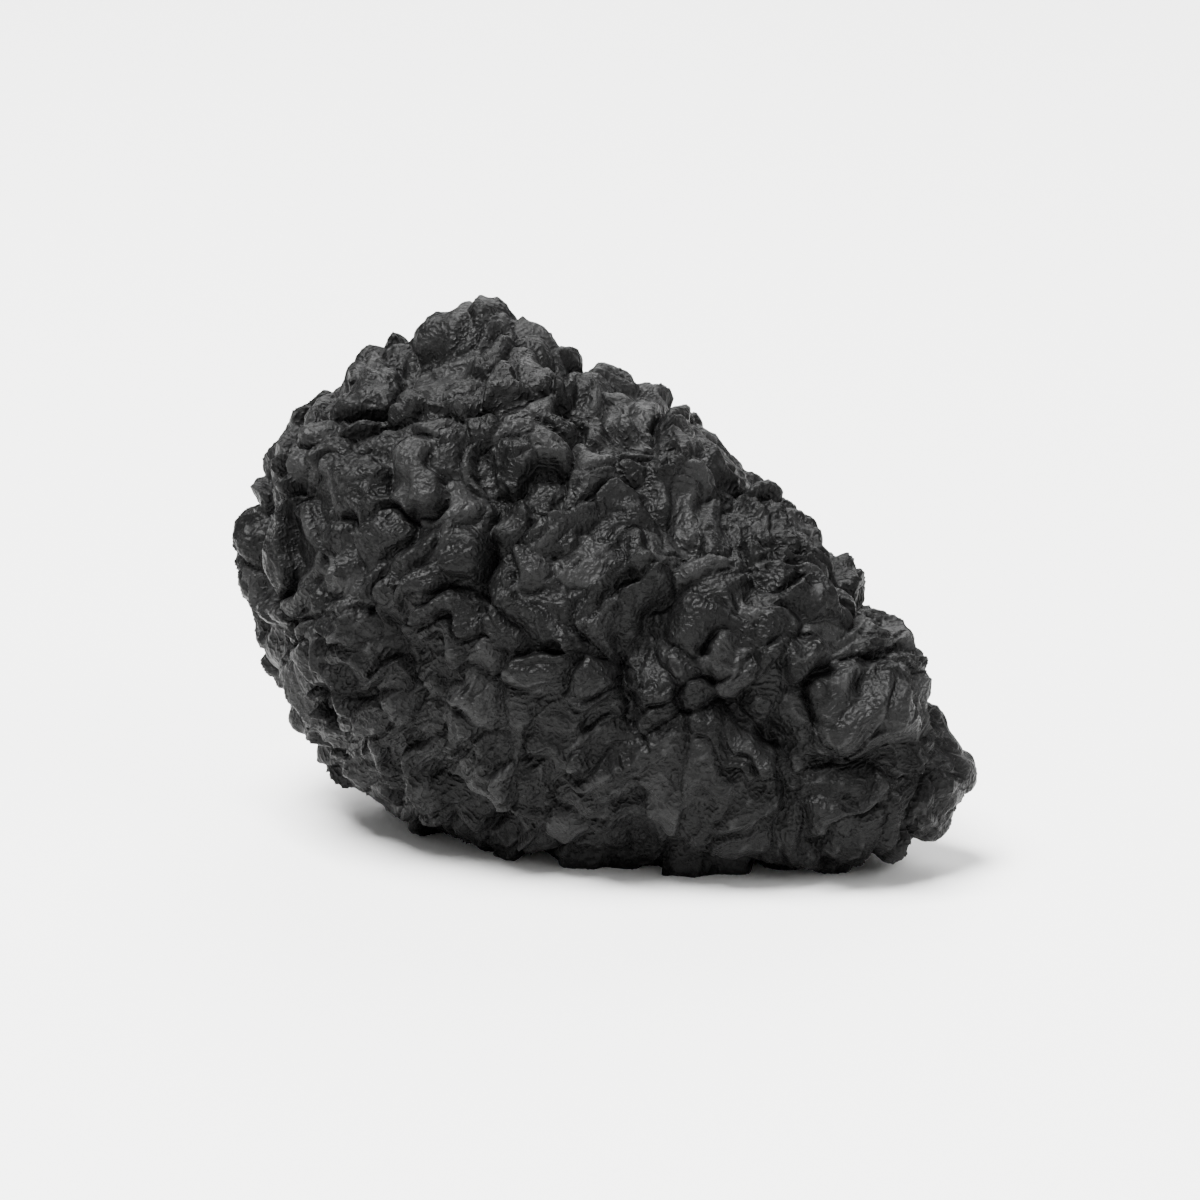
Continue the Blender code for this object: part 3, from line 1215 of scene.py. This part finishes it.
@dataclass
class Studio:
    """A pale table, soft light and the camera.

    Attributes:
        table_side: Length of the table's sides.
        elevation: Angle of the camera above the table.
        lens, sensor: Focal length and width of the sensor, in millimetres.
        view_width: Width of the picture at the fruit.
        clip_start: Distance from which on the camera sees.
        aim: Point that the camera looks at.
        lights: The soft boxes.
        room_colour, room_strength: Colour and strength of the light from all round.
        finish: Finish of the table.
    """

    table_side: float = 3.0
    elevation: float = math.radians(15)
    lens: float = 150.0
    sensor: float = 36.0
    view_width: float = 29.0 * MM
    clip_start: float = 1.0 * MM
    aim: Triple = (0.0, -1.3 * MM, 5.6 * MM)
    lights: tuple[SoftLight, ...] = (
        SoftLight("key_light", (-0.1, -0.06, 0.38), 0.2, 8.5),
        SoftLight("fill_light", (0.3, -0.2, 0.24), 0.26, 0.9),
        SoftLight("rim_light", (0.05, 0.3, 0.26), 0.26, 1.6),
    )
    room_colour: str = "#ffffff"
    room_strength: float = 0.45
    finish: TableTop = TableTop()

    def build(self, target: Vector) -> None:
        """Builds the table, the lights and the camera.

        Args:
            target: Point that the lights face.
        """
        half = self.table_side / 2
        mesh = bpy.data.meshes.new("table_top")
        corners = [(-half, -half, 0), (half, -half, 0), (half, half, 0), (-half, half, 0)]
        mesh.from_pydata(corners, [], [(0, 1, 2, 3)])
        mesh.materials.append(self.finish.material())
        table = new_object("table_top", mesh)
        table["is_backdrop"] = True
        for light in self.lights:
            self.add_light(light, target)
        self.add_world()
        self.add_camera()

    def add_light(self, light: SoftLight, target: Vector) -> None:
        """Adds a soft box.

        Args:
            light: Its name, place, size and power.
            target: Point that it faces.
        """
        data = bpy.data.lights.new(light.name, "AREA")
        data.shape = "SQUARE"
        data.size = light.side
        data.energy = light.power
        lamp = new_object(light.name, data)
        lamp.location = light.place
        lamp.rotation_euler = (target - Vector(light.place)).to_track_quat("-Z", "Y").to_euler()

    def add_world(self) -> None:
        """Adds even light from all round."""
        world = bpy.data.worlds.new("white_room")
        world.use_nodes = True
        sky = world.node_tree.nodes["Background"]
        sky.inputs["Color"].default_value = linear_rgb(self.room_colour)
        sky.inputs["Strength"].default_value = self.room_strength
        bpy.context.scene.world = world

    def add_camera(self) -> None:
        """Adds a long lens at the photograph's angle, as far off as view width x lens / sensor."""
        data = bpy.data.cameras.new("camera")
        data.lens = self.lens
        data.sensor_width = self.sensor
        data.clip_start = self.clip_start
        distance = self.view_width * self.lens / self.sensor
        camera = new_object("camera", data)
        offset = Vector((0.0, -math.cos(self.elevation), math.sin(self.elevation))) * distance
        camera.location = Vector(self.aim) + offset
        camera.rotation_euler = (-offset).to_track_quat("-Z", "Y").to_euler()
        bpy.context.scene.camera = camera


def main() -> None:
    """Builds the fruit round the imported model, and the studio round the fruit."""
    logging.basicConfig(level=logging.INFO, format="%(name)s: %(message)s")
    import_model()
    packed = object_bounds()
    head = FruitHead()
    for piece in (*head.build(), Stalk().build(*head.stalk_root())):
        LOG.info("%s: %d faces", piece.name, len(piece.data.polygons))
    Studio().build((packed[0] + packed[1]) / 2)


if __name__ == "__main__":
    main()
